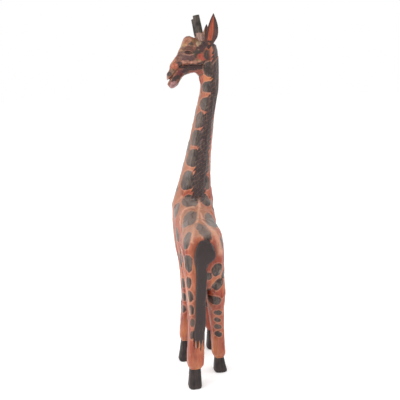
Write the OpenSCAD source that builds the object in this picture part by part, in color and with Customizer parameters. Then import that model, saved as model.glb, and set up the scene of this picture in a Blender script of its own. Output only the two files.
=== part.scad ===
// Carved wooden giraffe, standing with its head turned to its left.
// Z is up, the giraffe faces -Y, its left side is +X, and the four soles stand on Z = 0.
// The origin is under the middle of the overall box. All lengths are in millimetres.

/* [Overall] */
// Height from the soles to the tip of the left ear
height = 610; // [305:5:915]
// Points around each carved section
section_points = 28; // [16:4:36]
// Sections cut between two neighbouring stations
station_steps = 2; // [1:1:3]

/* [Joinery] */
// Diameter of the dowel between torso and neck
neck_dowel_d = 14; // [8:0.5:20]
// Length of the dowel between torso and neck
neck_dowel_l = 64; // [30:1:80]
// Diameter of the dowel between neck and head
head_dowel_d = 10; // [6:0.5:14]
// Length of the dowel between neck and head
head_dowel_l = 44; // [20:1:52]
// Diameter of the dowel at the top of each leg
leg_dowel_d = 9; // [6:0.5:12]
// Length of the dowel at the top of each leg
leg_dowel_l = 50; // [20:1:70]
// Diameter of the round tenon on each hoof
hoof_tenon_d = 8; // [5:0.5:10]
// Length of the round tenon on each hoof
hoof_tenon_l = 14; // [6:1:20]
// Diameter of the tenon at the root of each ear and of the tail
small_tenon_d = 6; // [4:0.5:8]
// Length of the tenon at the root of each ear, of each horn and of the tail
small_tenon_l = 10; // [5:1:14]
// Glue gap around every dowel and tenon, on the radius
glue_gap = 0.1; // [0.05:0.05:0.3]

/* [Horns] */
// Diameter of a horn at its flat, sawn top
horn_top_d = 11; // [8:0.5:14]
// Diameter of a horn where it leaves the head
horn_base_d = 13; // [8:0.5:14]
// Height of a horn above its seat in the head
horn_l = 45; // [30:1:60]
// Diameter of the tenon under each horn
horn_tenon_d = 7; // [4:0.5:8]

/* [Ears] */
// Width of an ear across its widest part
ear_w = 25; // [16:1:30]
// Thickness of an ear at its root
ear_t = 8; // [6:0.5:10]
// Length of an ear from its root to its tip
ear_l = 56; // [40:1:66]

/* [Hidden] */
$fn = 48;

leg_points = 20;            // points around a section of a leg, a haunch or a hoof
small_points = 16;          // points around a section of an ear or the tail
tenon_overlap = 2;          // how far each tenon runs on into its own piece
horn_seat_room = 0.2;       // extra room round a horn's foot, on the radius
head_squareness = 2.3;
design_height = 608.2;      // height of the stations below, to the left ear's tip
box_middle = [-7.59, -6.34];  // middle of the overall box in the stations' own frame

wood = "sienna";
pale_wood = "burlywood";
burnt_wood = "#2b2422";

// Stations of the torso from the rump to the neck seat. Each is a chord from back to belly:
// [back y, back z, belly y, belly z, middle x, half width, squareness, belly narrowing]
torso_stations = [
    [86, 240, 86, 204, 5, 14, 2.6, 0],
    [84, 253, 85, 186, 5.4, 24, 2.6, -0.04],
    [76, 259, 78, 170, 5.5, 30.2, 2.8, -0.1],
    [56, 264, 58, 156, 4.6, 33.5, 3, -0.12],
    [34, 267, 36, 158, 3.5, 34.5, 3, -0.14],
    [14, 271, 15, 176, 3, 33.5, 2.7, -0.16],
    [-3, 276, -4, 182, 2.5, 33.5, 2.7, -0.18],
    [-20, 283, -26, 166, 2.5, 33.5, 3, -0.24],
    [-29, 290, -56, 150, 2.2, 33.8, 3.2, -0.28],
    [-34, 295, -84, 166, 2, 35, 3, -0.18],
    [-37, 297, -100, 212, 1.4, 36, 2.8, -0.06],
    [-38, 298, -100, 268, 0.2, 36.6, 2.4, 0]];
leg_joint_z = 160;

// Stations of the neck above its seat: [x, y, z, half width in x, half depth in y,
// forward tilt, left tilt, squareness]
neck_rise = [
    [-1.8, -67, 305, 31.8, 30, 17, 0, 2.2],
    [-6.9, -66, 338, 25.8, 26.5, 8, 0, 2.2],
    [-12, -68, 365, 22.6, 24.5, 3, 0, 2.2],
    [-17.6, -70, 393, 20, 22.5, 0, 0, 2.2],
    [-26.7, -74, 438, 17.3, 20.5, 0, 0, 2.2],
    [-33.7, -77, 466, 16.3, 19.5, 0, 4, 2.2],
    [-37.2, -79, 486, 16.4, 19, 0, 12, 2.2],
    [-37.8, -80, 499, 17.5, 18.6, 0, 22, 2.2]];

// Stations of the head from the neck seat to the lips, in the upright plane that it faces along:
// [top x, top z, jaw x, jaw z, half width, roll, jaw narrowing]
head_y = -80;
head_stations = [
    [-53.6, 538.3, -19.9, 502.3, 18.4, 0, 0],
    [-50.2, 557, -16.8, 507.2, 20, 3, -0.05],
    [-35.2, 564, -10.7, 510.7, 21.5, 5, -0.1],
    [-17.6, 566.5, -2.7, 509.5, 22, 7, -0.15],
    [-3.6, 572, 5.4, 506.8, 21, 8, -0.2],
    [5.4, 569.2, 10.8, 502.6, 18.5, 8, -0.15],
    [11.7, 555, 14.5, 497.8, 15.5, 8, -0.1],
    [19, 540.7, 18.3, 490.8, 13.5, 8, 0],
    [27.8, 529.3, 24, 486.4, 12.4, 8, 0],
    [32.6, 517, 30.6, 484.6, 11, 8, 0],
    [37, 509.4, 36, 490.4, 8, 8, 0]];

// Stations of each leg from the torso joint down to the cuff above the hoof:
// [z, x, y, half width in x, half depth in y, squareness]
hind_left = [
    [160, 19, 60, 16.5, 23, 3], [132, 20.2, 66, 13.4, 17.5, 3.6], [104, 21.2, 70.4, 12.9, 14.2, 4],
    [76, 23.1, 73, 13.1, 13, 4], [44, 25.2, 74.4, 13, 13, 4], [40, 25.4, 74.5, 12.2, 12.2, 4],
    [34, 26, 74.6, 9, 9.2, 3.4]];
hind_right = [
    [160, -15.4, 48, 15.2, 22, 3], [132, -16.6, 42, 13.2, 17.5, 3.6], [104, -18.8, 36.4, 11.4, 14.2, 4],
    [66, -21.2, 30.6, 10.4, 12.8, 4], [38, -22.6, 28, 10.8, 12.8, 4], [33, -22.8, 27.7, 10, 11.8, 4],
    [27, -23.4, 27.2, 7.6, 8.6, 3.4]];
fore_left = [
    [160, 16, -43, 14.5, 21, 3], [134, 16.4, -39, 13, 16.6, 3.6], [112, 17, -36, 12.2, 14, 4],
    [70, 21.6, -31.6, 12, 12.6, 4], [50, 24, -30.4, 12, 12.6, 4], [45, 24.6, -30.3, 11.2, 11.8, 4],
    [38.5, 25.4, -30.2, 8.4, 9, 3.4]];
fore_right = [
    [160, -19.5, -60, 15, 21, 3], [134, -22.4, -62, 13, 16.6, 3.6], [112, -24.8, -63.6, 12.2, 14, 4],
    [70, -27.6, -66, 12, 12.6, 4], [49, -28.6, -67.4, 12, 12.6, 4], [44, -28.8, -67.6, 11.2, 11.8, 4],
    [37.5, -29.2, -68, 8.4, 9, 3.4]];

// Stations of each haunch and shoulder, which widen the torso from a leg's joint upwards
hind_left_root = [hind_left[0], [184, 19.5, 61.5, 17, 25, 2.9], [208, 19.8, 62, 17.4, 25, 2.7],
    [232, 18, 61, 15, 20, 2.4]];
hind_right_root = [hind_right[0], [184, -13.4, 53.5, 15.4, 24, 2.9], [208, -11.4, 59, 15.4, 24, 2.7],
    [232, -8.6, 59, 13, 18, 2.4]];
fore_left_root = [fore_left[0], [188, 16.5, -48, 15.5, 25, 2.8], [216, 17, -53, 16, 27, 2.6],
    [240, 17, -57, 13, 20, 2.4]];
fore_right_root = [fore_right[0], [188, -16.5, -60, 15, 25, 2.8], [216, -14, -60, 15, 27, 2.6],
    [240, -12, -60, 12, 20, 2.4]];

// Foot of each hoof on the ground: [x, y, half width, half length]
hind_left_foot = [27, 73.6, 10.8, 13];
hind_right_foot = [-25.6, 25, 11.2, 13];
fore_left_foot = [28, -31, 11.4, 13];
fore_right_foot = [-30.4, -69.6, 11.4, 13];

// Stations of the tail down the rump and the left hind leg:
// [x, y of its front face, z, half width, thickness]
tail_stations = [
    [8, 86.2, 250, 5, 3], [7.5, 86.4, 243, 12, 7], [7.5, 86.6, 226, 17, 9], [10, 86.4, 208, 13.5, 9],
    [13, 85.8, 192, 9, 8.6], [15.4, 85.4, 167, 8.2, 8], [16.4, 85.2, 142, 8.2, 7.4],
    [17.6, 85.8, 115, 8.4, 6.6], [20, 86.4, 92, 8, 5.4], [22.4, 87.2, 74, 3.4, 3]];

// Seats of the ears and horns on the head, and where their tips point
ear_left_root = [-34, -63, 553.4];
ear_left_tip = [-43.4, -57, 609];
ear_right_root = [-32, -97, 545];
ear_right_tip = [-38.2, -108.4, 597];
ear_turn = 12;
horn_left_root = [-23.2, -71.5, 562];
horn_left_tip = [-14.8, -71, 608];
horn_right_root = [-24.4, -91.5, 558.5];
horn_right_tip = [-15.6, -94, 604];

// ---------- curves and sections ----------

// A value on the smooth curve through four neighbouring stations, at t from b to c
function through(a, b, c, d, t) =
    b + t * (c - a) / 2 + t * t * (a - 2.5 * b + 2 * c - d / 2) + t * t * t * (1.5 * (b - c) + (d - a) / 2);

// The stations with extra ones between each pair, on a smooth curve through all of them
function smooth(s, steps = station_steps) =
    let (last = len(s) - 1)
    [for (i = [0 : last - 1], k = [0 : steps - 1])
        through(s[max(i - 1, 0)], s[i], s[i + 1], s[min(i + 2, last)], k / steps), s[last]];

function sign_pow(v, p) = sign(v) * pow(abs(v), p);

// A section about c: a along u and b along v, squarer as q grows, narrower or wider towards +u
function section(c, u, v, a, b, q = 2.2, narrowing = 0, n = section_points) =
    [for (i = [0 : n - 1])
        let (t = 360 * i / n)
        c + u * a * sign_pow(cos(t), 2 / q) + v * b * sign_pow(sin(t), 2 / q) * (1 + narrowing * cos(t))];

// A closed skin over a row of sections with the same number of points, going the way u turns to v
module skin(rows) {
    n = len(rows[0]);
    last = len(rows) - 1;
    polyhedron(
        points = [for (row = rows) each row],
        faces = concat(
            [[for (i = [0 : n - 1]) i]],
            [for (r = [0 : last - 1], i = [0 : n - 1])
                each let (a = r * n + i, b = r * n + (i + 1) % n) [[a, b + n, b], [a, a + n, b + n]]],
            [[for (i = [n - 1 : -1 : 0]) last * n + i]]));
}

// A skin over sections that are listed from the top down
module skin_down(rows) {
    skin([for (r = [len(rows) - 1 : -1 : 0]) rows[r]]);
}

function unit(v) = v / norm(v);
function flatten_below(points, z) = [for (p = points) [p.x, p.y, max(p.z, z)]];

// ---------- placing ----------

module carved(colour) {
    scale(height / design_height) translate([-box_middle.x, -box_middle.y, 0]) color(colour) children();
}

// Turns +Z towards a direction
module aim(from, towards) {
    d = unit(towards - from);
    translate(from) rotate([0, acos(d.z), atan2(d.y, d.x)]) children();
}

// A round peg about a point, half its length on each side along a direction
module peg(at, along, d, l) {
    aim(at, at + along) cylinder(d = d, h = l, center = true);
}

// ---------- torso and neck ----------

function torso_row(s) =
    let (back = [s[4], s[0], s[1]], belly = [s[4], s[2], s[3]], chord = belly - back)
    section((back + belly) / 2, unit(chord), [1, 0, 0], norm(chord) / 2, s[5], s[6], s[7]);

neck_seat = torso_stations[len(torso_stations) - 1];
neck_seat_at = [neck_seat[4], (neck_seat[0] + neck_seat[2]) / 2, (neck_seat[1] + neck_seat[3]) / 2];
neck_seat_chord = [0, neck_seat[0] - neck_seat[2], neck_seat[1] - neck_seat[3]];
neck_seat_tilt = atan2(neck_seat_chord.z, neck_seat_chord.y);
neck_seat_up = [0, -sin(neck_seat_tilt), cos(neck_seat_tilt)];

head_seat = head_stations[0];
head_seat_at = [(head_seat[0] + head_seat[2]) / 2, head_y, (head_seat[1] + head_seat[3]) / 2];
head_seat_chord = [head_seat[2] - head_seat[0], 0, head_seat[3] - head_seat[1]];
head_seat_tilt = atan2(-head_seat_chord.z, head_seat_chord.x);

// The neck's two end stations are the seats that it shares with the torso and the head
neck_stations = concat(
    [concat(neck_seat_at, [neck_seat[5], norm(neck_seat_chord) / 2, neck_seat_tilt, 0, neck_seat[6]])],
    neck_rise,
    [concat(head_seat_at, [norm(head_seat_chord) / 2, head_seat[4], 0, head_seat_tilt, neck_seat[6]])]);

// A level section from [z, x, y, half width, half depth, squareness]
function leg_row(s) = section([s[1], s[2], s[0]], [1, 0, 0], [0, 1, 0], s[3], s[4], s[5], 0, leg_points);

function neck_row(s) =
    section([s[0], s[1], s[2]], [cos(s[6]), 0, -sin(s[6])], [0, cos(s[5]), sin(s[5])], s[3], s[4], s[7]);

// Where each leg meets the torso
leg_tops = [for (leg = [fore_left, fore_right, hind_left, hind_right]) [leg[0][1], leg[0][2], leg_joint_z]];

module neck_peg(gap = 0) {
    peg(neck_seat_at, neck_seat_up, neck_dowel_d + 2 * gap, neck_dowel_l + 2 * gap);
}

module head_peg(gap = 0) {
    peg(head_seat_at, [0, 0, 1], head_dowel_d + 2 * gap, head_dowel_l + 2 * gap);
}

module leg_peg(at, gap = 0) {
    translate(at) cylinder(d = leg_dowel_d + 2 * gap, h = leg_dowel_l + 2 * gap, center = true);
}

module torso() {
    carved(wood) difference() {
        union() {
            skin([for (s = smooth(torso_stations)) flatten_below(torso_row(s), leg_joint_z)]);
            for (root = [hind_left_root, hind_right_root, fore_left_root, fore_right_root])
                skin([for (s = smooth(root)) leg_row(s)]);
        }
        neck_peg(glue_gap);
        for (at = leg_tops) leg_peg(at, glue_gap);
        tail_peg(glue_gap);
    }
}

module neck() {
    carved(wood) difference() {
        skin([for (s = smooth(neck_stations)) neck_row(s)]);
        neck_peg(glue_gap);
        head_peg(glue_gap);
    }
}

module neck_dowel() {
    carved(pale_wood) neck_peg();
}

module head_dowel() {
    carved(pale_wood) head_peg();
}

module leg_dowels() {
    carved(pale_wood) for (at = leg_tops) leg_peg(at);
}

// ---------- head, horns and ears ----------

function head_row(s) =
    let (top = [s[0], head_y, s[1]], jaw = [s[2], head_y, s[3]], chord = jaw - top)
    section((top + jaw) / 2, unit(chord), [0, cos(s[5]), sin(s[5])], norm(chord) / 2, s[4],
        head_squareness, s[6]);

module horn_peg(root, tip, gap = 0) {
    aim(root, tip) translate([0, 0, -small_tenon_l - gap])
        cylinder(d = horn_tenon_d + 2 * gap, h = small_tenon_l + tenon_overlap + gap);
}

// The flat seat that a horn stands on is sunk a little into the skull
module horn_socket(root, tip) {
    horn_peg(root, tip, glue_gap);
    aim(root, tip) cylinder(d = horn_base_d + 2 * (glue_gap + horn_seat_room), h = horn_l);
}

module horn(root, tip) {
    carved(burnt_wood) {
        horn_peg(root, tip);
        aim(root, tip) cylinder(d1 = horn_base_d, d2 = horn_top_d, h = horn_l);
    }
}

module horn_left() {
    horn(horn_left_root, horn_left_tip);
}

module horn_right() {
    horn(horn_right_root, horn_right_tip);
}

// Half width and thickness of an ear at a fraction of its length
function ear_half_width(f) = ear_w * (0.22 + 0.46 * sin(180 * pow(f, 0.7))) * sqrt(1 - f);
function ear_half_thickness(f) = ear_t / 2 * (1 - 0.75 * f);

module ear_peg(root, tip, gap = 0) {
    aim(root, tip) translate([0, 0, -small_tenon_l - gap])
        cylinder(d = small_tenon_d + 2 * gap, h = small_tenon_l + tenon_overlap + gap);
}

// A leaf from its root to its tip, its broad face towards the side and turned a little forward
module ear_leaf(root, tip, turn, gap = 0) {
    slices = 12;
    blunt_tip = 0.995;
    d = unit(tip - root);
    translate(root) rotate([-asin(d.y), asin(d.x), turn])
        skin([for (i = [0 : slices])
            let (f = blunt_tip * i / slices, low = i == 0 ? gap : 0)
            section([0, 0, f * ear_l - low], [1, 0, 0], [0, 1, 0],
                ear_half_width(f) + gap, ear_half_thickness(f) + gap, 2, 0, small_points)]);
}

module ear(root, tip, turn) {
    carved(burnt_wood) {
        ear_peg(root, tip);
        ear_leaf(root, tip, turn);
    }
}

// The pocket in the skull that takes an ear's root and its tenon
module ear_socket(root, tip, turn) {
    ear_peg(root, tip, glue_gap);
    ear_leaf(root, tip, turn, glue_gap);
}

module ear_left() {
    ear(ear_left_root, ear_left_tip, ear_turn);
}

module ear_right() {
    ear(ear_right_root, ear_right_tip, -ear_turn);
}

module head() {
    carved(wood) difference() {
        skin([for (s = smooth(head_stations)) head_row(s)]);
        head_peg(glue_gap);
        horn_socket(horn_left_root, horn_left_tip);
        horn_socket(horn_right_root, horn_right_tip);
        ear_socket(ear_left_root, ear_left_tip, ear_turn);
        ear_socket(ear_right_root, ear_right_tip, -ear_turn);
    }
}

// ---------- legs and hooves ----------

function leg_foot(leg) = leg[len(leg) - 1];

module hoof_peg(leg, gap = 0) {
    foot = leg_foot(leg);
    translate([foot[1], foot[2], foot[0] - tenon_overlap])
        cylinder(d = hoof_tenon_d + 2 * gap, h = hoof_tenon_l + tenon_overlap + gap);
}

module leg(leg) {
    carved(wood) difference() {
        skin_down([for (s = smooth(leg)) leg_row(s)]);
        leg_peg([leg[0][1], leg[0][2], leg_joint_z], glue_gap);
        hoof_peg(leg, glue_gap);
    }
}

// A hoof grows from the leg's cuff to its foot on the ground, with a small chamfer at the sole
module hoof(leg, foot) {
    top = leg_foot(leg);
    sole_chamfer = 1.5;
    hoof_square = 3.4;
    carved(burnt_wood) {
        skin([for (s = [
                [0, foot[0], foot[1], foot[2] - sole_chamfer, foot[3] - sole_chamfer, hoof_square],
                [sole_chamfer, foot[0], foot[1], foot[2], foot[3], hoof_square],
                [top[0] / 2, (foot[0] + top[1]) / 2, (foot[1] + top[2]) / 2,
                    (foot[2] + top[3]) / 2, (foot[3] + top[4]) / 2, hoof_square],
                [top[0], top[1], top[2], top[3], top[4], hoof_square]])
            leg_row(s)]);
        hoof_peg(leg);
    }
}

module foreleg_left() {
    leg(fore_left);
}

module foreleg_right() {
    leg(fore_right);
}

module hindleg_left() {
    leg(hind_left);
}

module hindleg_right() {
    leg(hind_right);
}

module hoof_fore_left() {
    hoof(fore_left, fore_left_foot);
}

module hoof_fore_right() {
    hoof(fore_right, fore_right_foot);
}

module hoof_hind_left() {
    hoof(hind_left, hind_left_foot);
}

module hoof_hind_right() {
    hoof(hind_right, hind_right_foot);
}

// ---------- tail ----------

tail_root = tail_stations[2];

module tail_peg(gap = 0) {
    translate([tail_root[0], tail_root[1] - small_tenon_l - gap, tail_root[2]]) rotate([-90, 0, 0])
        cylinder(d = small_tenon_d + 2 * gap, h = small_tenon_l + tenon_overlap + gap);
}

module tail() {
    carved(burnt_wood) {
        skin_down([for (s = smooth(tail_stations))
            section([s[0], s[1] + s[4] / 2, s[2]], [1, 0, 0], [0, 1, 0], s[3], s[4] / 2, 2.8, 0, small_points)]);
        tail_peg();
    }
}

torso();
neck();
head();
ear_left();
ear_right();
horn_left();
horn_right();
tail();
foreleg_left();
foreleg_right();
hindleg_left();
hindleg_right();
hoof_fore_left();
hoof_fore_right();
hoof_hind_left();
hoof_hind_right();
neck_dowel();
head_dowel();
leg_dowels();
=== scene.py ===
"""A carved and painted wooden giraffe, seen from behind on a plain pale floor.

Lengths in this script are millimetres of the statue, which is 610 mm high in the frame.
The giraffe faces -Y, its left side is +X, and its head is turned to its left.
"""

import math

import bmesh
import bpy
import numpy as np
from mathutils import Matrix, Vector, kdtree


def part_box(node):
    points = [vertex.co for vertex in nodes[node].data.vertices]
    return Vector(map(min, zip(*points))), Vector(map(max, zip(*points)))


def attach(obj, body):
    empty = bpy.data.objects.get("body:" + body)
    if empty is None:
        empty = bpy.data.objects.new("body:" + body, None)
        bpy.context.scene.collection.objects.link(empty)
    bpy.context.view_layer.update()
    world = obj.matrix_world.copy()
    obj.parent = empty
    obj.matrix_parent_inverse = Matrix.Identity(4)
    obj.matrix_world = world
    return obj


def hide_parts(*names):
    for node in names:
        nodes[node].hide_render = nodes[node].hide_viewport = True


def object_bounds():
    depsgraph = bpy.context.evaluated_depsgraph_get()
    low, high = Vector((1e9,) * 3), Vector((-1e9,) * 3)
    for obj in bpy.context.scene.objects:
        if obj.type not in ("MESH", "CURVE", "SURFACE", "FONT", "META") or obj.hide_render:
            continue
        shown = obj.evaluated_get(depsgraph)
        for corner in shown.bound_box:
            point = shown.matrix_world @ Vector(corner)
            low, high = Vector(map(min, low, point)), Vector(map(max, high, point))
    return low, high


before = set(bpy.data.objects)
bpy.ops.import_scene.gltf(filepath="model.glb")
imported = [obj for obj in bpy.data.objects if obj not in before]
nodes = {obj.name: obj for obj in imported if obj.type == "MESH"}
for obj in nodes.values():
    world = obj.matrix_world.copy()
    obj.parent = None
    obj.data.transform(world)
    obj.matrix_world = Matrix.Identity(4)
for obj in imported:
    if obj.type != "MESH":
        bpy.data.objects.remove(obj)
cad_low, cad_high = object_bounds()
scene = bpy.context.scene

STATUE_HEIGHT = 610.0
UNIT = (cad_high.z - cad_low.z) / STATUE_HEIGHT  # metres to a statue millimetre

BODY_VOXEL = 1.2
HEAD_VOXEL = 0.55
SMALL_VOXEL = 0.6


# ---------- numbers on arrays of points ----------


def ease(low, high, x):
    """0 below low, 1 above high, and a smooth rise between them."""
    t = np.clip((x - low) / (high - low), 0, 1)
    return t * t * (3 - 2 * t)


def dome(P, centre, radii):
    """A smooth bump that is 1 at the centre and 0 outside the radii."""
    r2 = (((P - centre) / radii) ** 2).sum(1)
    return np.clip(1 - r2, 0, 1) ** 2


def to_path(P, path):
    """Distance to a path of straight stretches, and the length along it of the nearest point."""
    path = np.array(path, float)
    best, along, start = np.full(len(P), 1e9), np.zeros(len(P)), 0.0
    for a, b in zip(path[:-1], path[1:]):
        length = np.linalg.norm(b - a)
        t = np.clip(((P - a) @ (b - a)) / length**2, 0, 1)
        d = np.linalg.norm(P - a - t[:, None] * (b - a), axis=1)
        nearer = d < best
        best[nearer], along[nearer] = d[nearer], start + t[nearer] * length
        start += length
    return best, along


def curve_through(points, steps=6):
    """More points on a smooth curve through the given ones."""
    p = np.array(points, float)
    p = np.vstack([2 * p[0] - p[1], p, 2 * p[-1] - p[-2]])
    out = []
    for i in range(1, len(p) - 2):
        a, b, c, d = p[i - 1 : i + 3]
        for t in np.arange(steps) / steps:
            bend, twist = a - 2.5 * b + 2 * c - d / 2, 1.5 * (b - c) + (d - a) / 2
            out.append(b + t * (c - a) / 2 + t * t * bend + t**3 * twist)
    out.append(p[-2])
    return np.array(out)


def lattice_value(i, seed):
    """A fixed random value between 0 and 1 at each whole-number point."""
    n = (i[..., 0] * 73856093) ^ (i[..., 1] * 19349663) ^ (i[..., 2] * 83492791) ^ (seed * 2654435761)
    n = (n ^ (n >> 13)) * 1274126177
    return ((n ^ (n >> 16)) & 0xFFFF) / 0xFFFF


def cloud(P, size, seed):
    """Smooth random values from -1 to 1 whose lumps are about the given size."""
    q = P / size + 31.7
    i = np.floor(q).astype(np.int64)
    f = q - i
    f = f * f * (3 - 2 * f)
    total = np.zeros(len(P))
    for corner in range(8):
        step = np.array([corner & 1, corner >> 1 & 1, corner >> 2 & 1])
        w = np.prod(np.where(step, f, 1 - f), axis=1)
        total += w * lattice_value(i + step, seed)
    return total * 2 - 1


# ---------- skins: closed surfaces that are shaped as arrays ----------


def node_shape(name):
    """Points in statue millimetres and faces of a CAD node."""
    mesh = nodes[name].data
    P = np.empty(len(mesh.vertices) * 3)
    mesh.vertices.foreach_get("co", P)
    return P.reshape(-1, 3) / UNIT, [tuple(p.vertices) for p in mesh.polygons]


def ball(centre, radii, rings=10, sides=16):
    """Points and faces of a closed egg shape."""
    turns = np.arange(sides) * 2 * math.pi / sides
    points = [[0, 0, 1]]
    for r in range(1, rings):
        a = math.pi * r / rings
        points += [[math.sin(a) * math.cos(t), math.sin(a) * math.sin(t), math.cos(a)] for t in turns]
    points.append([0, 0, -1])
    last = len(points) - 1
    faces = [(0, 1 + s, 1 + (s + 1) % sides) for s in range(sides)]
    for r in range(rings - 2):
        for s in range(sides):
            a, b = 1 + r * sides + s, 1 + r * sides + (s + 1) % sides
            faces.append((a, a + sides, b + sides, b))
    faces += [(last, last - sides + (s + 1) % sides, last - sides + s) for s in range(sides)]
    return np.array(points) * radii + centre, faces


class Skin:
    """A closed surface of quads round a set of solids."""

    def __init__(self, solids, voxel):
        points, faces = [], []
        for P, F in solids:
            faces += [tuple(i + len(points) for i in f) for f in F]
            points += P.tolist()
        mesh = bpy.data.meshes.new("blank")
        mesh.from_pydata(points, [], faces)
        blank = bpy.data.objects.new("blank", mesh)
        scene.collection.objects.link(blank)
        wrap = blank.modifiers.new("wrap", "REMESH")
        wrap.mode, wrap.voxel_size, wrap.adaptivity = "VOXEL", voxel, 0
        made = bpy.data.meshes.new_from_object(blank.evaluated_get(bpy.context.evaluated_depsgraph_get()))
        P = np.empty(len(made.vertices) * 3)
        made.vertices.foreach_get("co", P)
        Q = np.empty(len(made.loops), np.int64)
        made.loops.foreach_get("vertex_index", Q)
        self.P, self.Q = P.reshape(-1, 3), Q.reshape(-1, 4)
        bpy.data.objects.remove(blank)
        bpy.data.meshes.remove(mesh)
        bpy.data.meshes.remove(made)
        self.keep_largest()
        self.voxel = voxel
        self.marks, self.tint = {}, None

    def keep_largest(self):
        """Drops any loose shell left inside a joint."""
        label = np.arange(len(self.P))
        while True:
            low = label[self.Q].min(1)
            new = label.copy()
            for c in range(4):
                np.minimum.at(new, self.Q[:, c], low)
            new = new[new]
            if (new == label).all():
                break
            label = new
        names, counts = np.unique(label, return_counts=True)
        kept = label == names[counts.argmax()]
        number = np.cumsum(kept) - 1
        self.Q = number[self.Q[kept[self.Q[:, 0]]]]
        self.P = self.P[kept]
        e = np.vstack([self.Q[:, [0, 1]], self.Q[:, [1, 2]], self.Q[:, [2, 3]], self.Q[:, [3, 0]]])
        e.sort(1)
        self.E = np.unique(e, axis=0)
        self.degree = np.bincount(self.E.ravel(), minlength=len(self.P))[:, None]

    def mean(self, V):
        """The mean of each point's neighbours."""
        a, b = self.E.T
        n = len(self.P)
        total = [np.bincount(a, V[b, c], n) + np.bincount(b, V[a, c], n) for c in range(V.shape[1])]
        return np.stack(total, 1) / self.degree

    def relax(self, width, where=1.0):
        """Smooths away shapes narrower than width, without shrinking the rest."""
        where = np.broadcast_to(where, (len(self.P),))[:, None]
        for _ in range(max(1, round((width / self.voxel) ** 2))):
            self.P = self.P + 0.5 * where * (self.mean(self.P) - self.P)
            self.P = self.P - 0.515 * where * (self.mean(self.P) - self.P)

    def normals(self, softness=0):
        """Outward directions, averaged with the neighbours' as often as softness says."""
        d1 = self.P[self.Q[:, 2]] - self.P[self.Q[:, 0]]
        d2 = self.P[self.Q[:, 3]] - self.P[self.Q[:, 1]]
        face = np.cross(d1, d2)
        n = len(self.P)
        N = [sum(np.bincount(self.Q[:, k], face[:, c], n) for k in range(4)) for c in range(3)]
        N = np.stack(N, 1)
        for _ in range(softness):
            N = N + self.mean(N)
        return N / np.linalg.norm(N, axis=1, keepdims=True)

    def push(self, amount, softness=2):
        """Moves the surface outwards, or inwards where amount is negative."""
        self.P = self.P + self.normals(softness) * np.asarray(amount)[:, None]

    def facets(self, size, depth, stretch, seed, where=1.0):
        """Flat knife cuts: each patch of the surface is pulled towards the plane at its middle."""
        N = self.normals(12)
        rng = np.random.default_rng(seed)
        area = len(self.Q) * self.voxel**2
        middles = rng.choice(len(self.P), max(4, int(area / (size * size * stretch))), replace=False)
        squeeze = np.array([1, 1, 1 / stretch])
        tree = kdtree.KDTree(len(middles))
        for i, m in enumerate(middles):
            tree.insert(Vector(self.P[m] * squeeze), i)
        tree.balance()
        near = middles[[tree.find(Vector(p))[1] for p in self.P * squeeze]]
        off = ((self.P - self.P[near]) * N[near]).sum(1)
        self.P = self.P - N[near] * (np.clip(off, -depth, depth) * where)[:, None]

    def hollow(self, reach):
        """How far each point lies below the surface round it: positive in creases, negative on crests."""
        soft = self.P
        for _ in range(max(1, round((reach / self.voxel) ** 2))):
            soft = soft + 0.5 * (self.mean(soft) - soft)
        return ((soft - self.P) * self.normals(2)).sum(1)


def cut(bm, at, normal):
    """Cuts away what lies on the side that the normal points to, and closes the flat cut."""
    geom = bm.verts[:] + bm.edges[:] + bm.faces[:]
    done = bmesh.ops.bisect_plane(bm, geom=geom, dist=1e-4, plane_co=at, plane_no=normal, clear_outer=True)
    edges = [e for e in done["geom_cut"] if isinstance(e, bmesh.types.BMEdge)]
    bmesh.ops.holes_fill(bm, edges=edges, sides=0)
    for e in edges:
        e.smooth = False


def to_bmesh(skin):
    """An editable mesh of the skin that carries its marks and its tint."""
    mesh = bpy.data.meshes.new("blank")
    mesh.vertices.add(len(skin.P))
    mesh.vertices.foreach_set("co", skin.P.ravel())
    mesh.loops.add(len(skin.Q) * 4)
    mesh.loops.foreach_set("vertex_index", skin.Q.ravel().astype(np.int32))
    mesh.polygons.add(len(skin.Q))
    mesh.polygons.foreach_set("loop_start", np.arange(0, len(skin.Q) * 4, 4, dtype=np.int32))
    mesh.update(calc_edges=True)
    for name, values in skin.marks.items():
        layer = mesh.attributes.new(name, "FLOAT", "POINT")
        layer.data.foreach_set("value", values.astype(np.float32))
    if skin.tint is not None:
        layer = mesh.attributes.new("tint", "FLOAT_COLOR", "POINT")
        layer.data.foreach_set("color", skin.tint.astype(np.float32).ravel())
    bm = bmesh.new()
    bm.from_mesh(mesh)
    bpy.data.meshes.remove(mesh)
    return bm


def piece_from(bm, node, material):
    """Makes the shown piece that stands for a CAD node, and frees the editable mesh."""
    name = "painted_" + node
    bmesh.ops.scale(bm, vec=(UNIT,) * 3, verts=bm.verts)
    mesh = bpy.data.meshes.new(name)
    bm.to_mesh(mesh)
    bm.free()
    mesh.polygons.foreach_set("use_smooth", [True] * len(mesh.polygons))
    mesh.materials.append(material)
    piece = bpy.data.objects.new(name, mesh)
    scene.collection.objects.link(piece)
    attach(piece, "root")
    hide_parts(node)


# ---------- the seats that the pieces meet at ----------


def box_of(name):
    """Low and high corner of a CAD node in statue millimetres."""
    low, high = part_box(name)
    return np.array(low) / UNIT, np.array(high) / UNIT


def dowel_axis(name):
    """Middle and direction of a CAD dowel."""
    P, _ = node_shape(name)
    middle = (P.max(0) + P.min(0)) / 2
    _, _, axes = np.linalg.svd(P - P.mean(0), full_matrices=False)
    along = axes[0] * np.sign(axes[0][2])
    return middle, along


neck_seat_at, neck_seat_up = dowel_axis("neck_dowel")
head_seat_at, _ = dowel_axis("head_dowel")
head_seat_up = np.array([0.73, 0, 0.683])  # the oblique seat faces up and to the left
leg_seat_z = box_of("hindleg_left")[1][2]

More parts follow.
